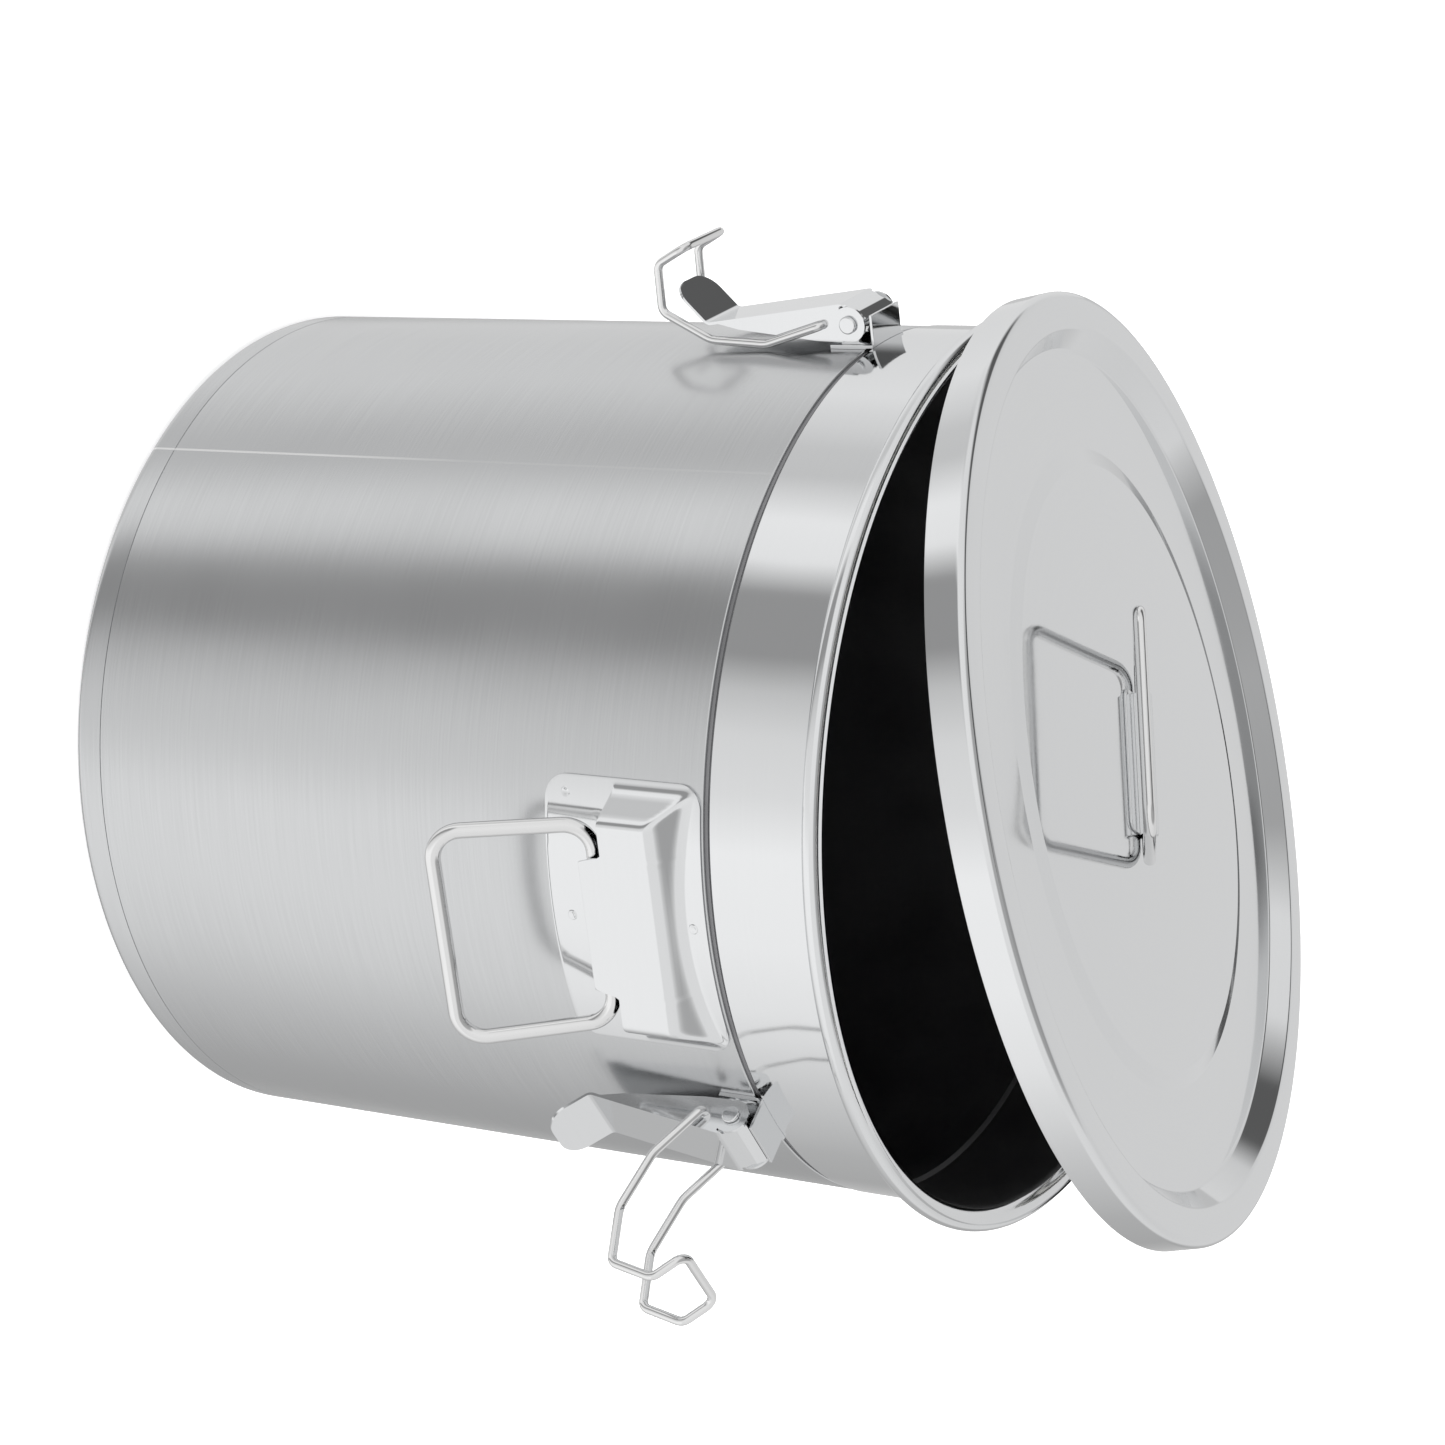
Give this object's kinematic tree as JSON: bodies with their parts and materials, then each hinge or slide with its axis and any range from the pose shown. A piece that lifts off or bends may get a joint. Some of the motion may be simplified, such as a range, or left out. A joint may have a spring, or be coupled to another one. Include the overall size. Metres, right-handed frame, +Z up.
{
  "type": "milk can",
  "caption": "Stainless steel drum with a rolled rim, a loose pressed lid with a wire handle, drop handles at its sides and over-centre latches with wire bails.",
  "frame": {"origin": "centre of the base, on the floor it stands on", "axes": "+Z up along the drum's axis, out of the mouth; +X through one drop handle; one latch faces -Y"},
  "size_m": [0.4423, 0.4008, 0.4399],
  "materials": {
    "satin_steel": "satin stainless sheet, rolled, faint vertical grain",
    "polished_steel": "mirror polished stainless sheet",
    "wire_steel": "bright drawn stainless wire",
    "gasket": "matt white silicone"
  },
  "bodies": {
    "can": {"base_pan": "satin_steel", "body_shell": "satin_steel", "neck_ring": "polished_steel", "rim_wire": "wire_steel", "handle_plate_a": "polished_steel", "handle_plate_b": "polished_steel", "latch_bracket_1": "polished_steel", "latch_rivet_1": "polished_steel", "latch_bracket_2": "polished_steel", "latch_rivet_2": "polished_steel", "latch_bracket_3": "polished_steel", "latch_rivet_3": "polished_steel"},
    "lid": {"lid_panel": "polished_steel", "lid_gasket": "gasket", "lid_clip": "polished_steel"},
    "lid_handle": {"lid_handle": "wire_steel"},
    "drop_handle_a": {"drop_handle_a": "wire_steel"},
    "drop_handle_b": {"drop_handle_b": "wire_steel"},
    "lever_1": {"latch_lever_1": "polished_steel"},
    "bail_1": {"latch_bail_1": "wire_steel"},
    "lever_2": {"latch_lever_2": "polished_steel"},
    "bail_2": {"latch_bail_2": "wire_steel"},
    "lever_3": {"latch_lever_3": "polished_steel"},
    "bail_3": {"latch_bail_3": "wire_steel"}
  },
  "joints": [
    {"name": "lid_tilt", "type": "hinge", "parent": "can", "child": "lid", "pos_m": [-0.11962, -0.14256, 0.3375], "axis": [0.766, -0.6428, 0], "range_deg": [-13.75, 90]},
    {"name": "lid_handle_swing", "type": "hinge", "parent": "lid", "child": "lid_handle", "pos_m": [-0.00383, -0.00456, 0.3927], "axis": [-0.5778, -0.7809, -0.2373], "range_deg": [-18, 158]},
    {"name": "drop_handle_a_swing", "type": "hinge", "parent": "can", "child": "drop_handle_a", "pos_m": [0.1792, 0, 0.254], "axis": [0, -1, 0], "range_deg": [-28, 77]},
    {"name": "drop_handle_b_swing", "type": "hinge", "parent": "can", "child": "drop_handle_b", "pos_m": [-0.1792, 0, 0.254], "axis": [0, 1, 0], "range_deg": [-28, 77]},
    {"name": "lever_1_lift", "type": "hinge", "parent": "can", "child": "lever_1", "pos_m": [0, -0.1842, 0.2905], "axis": [-1, 0, 0], "range_deg": [0, 60]},
    {"name": "bail_1_swing", "type": "hinge", "parent": "lever_1", "child": "bail_1", "pos_m": [0, -0.1842, 0.2793], "axis": [-1, 0, 0], "range_deg": [0, 88]},
    {"name": "lever_2_lift", "type": "hinge", "parent": "can", "child": "lever_2", "pos_m": [0.15952, 0.0921, 0.2905], "axis": [0.5, -0.866, 0], "range_deg": [0, 60]},
    {"name": "bail_2_swing", "type": "hinge", "parent": "lever_2", "child": "bail_2", "pos_m": [0.15952, 0.0921, 0.2793], "axis": [0.5, -0.866, 0], "range_deg": [-79, 9]},
    {"name": "lever_3_lift", "type": "hinge", "parent": "can", "child": "lever_3", "pos_m": [-0.15952, 0.0921, 0.2905], "axis": [0.5, 0.866, 0], "range_deg": [0, 60]},
    {"name": "bail_3_swing", "type": "hinge", "parent": "lever_3", "child": "bail_3", "pos_m": [-0.15952, 0.0921, 0.2793], "axis": [0.5, 0.866, 0], "range_deg": [0, 88]}
  ]
}
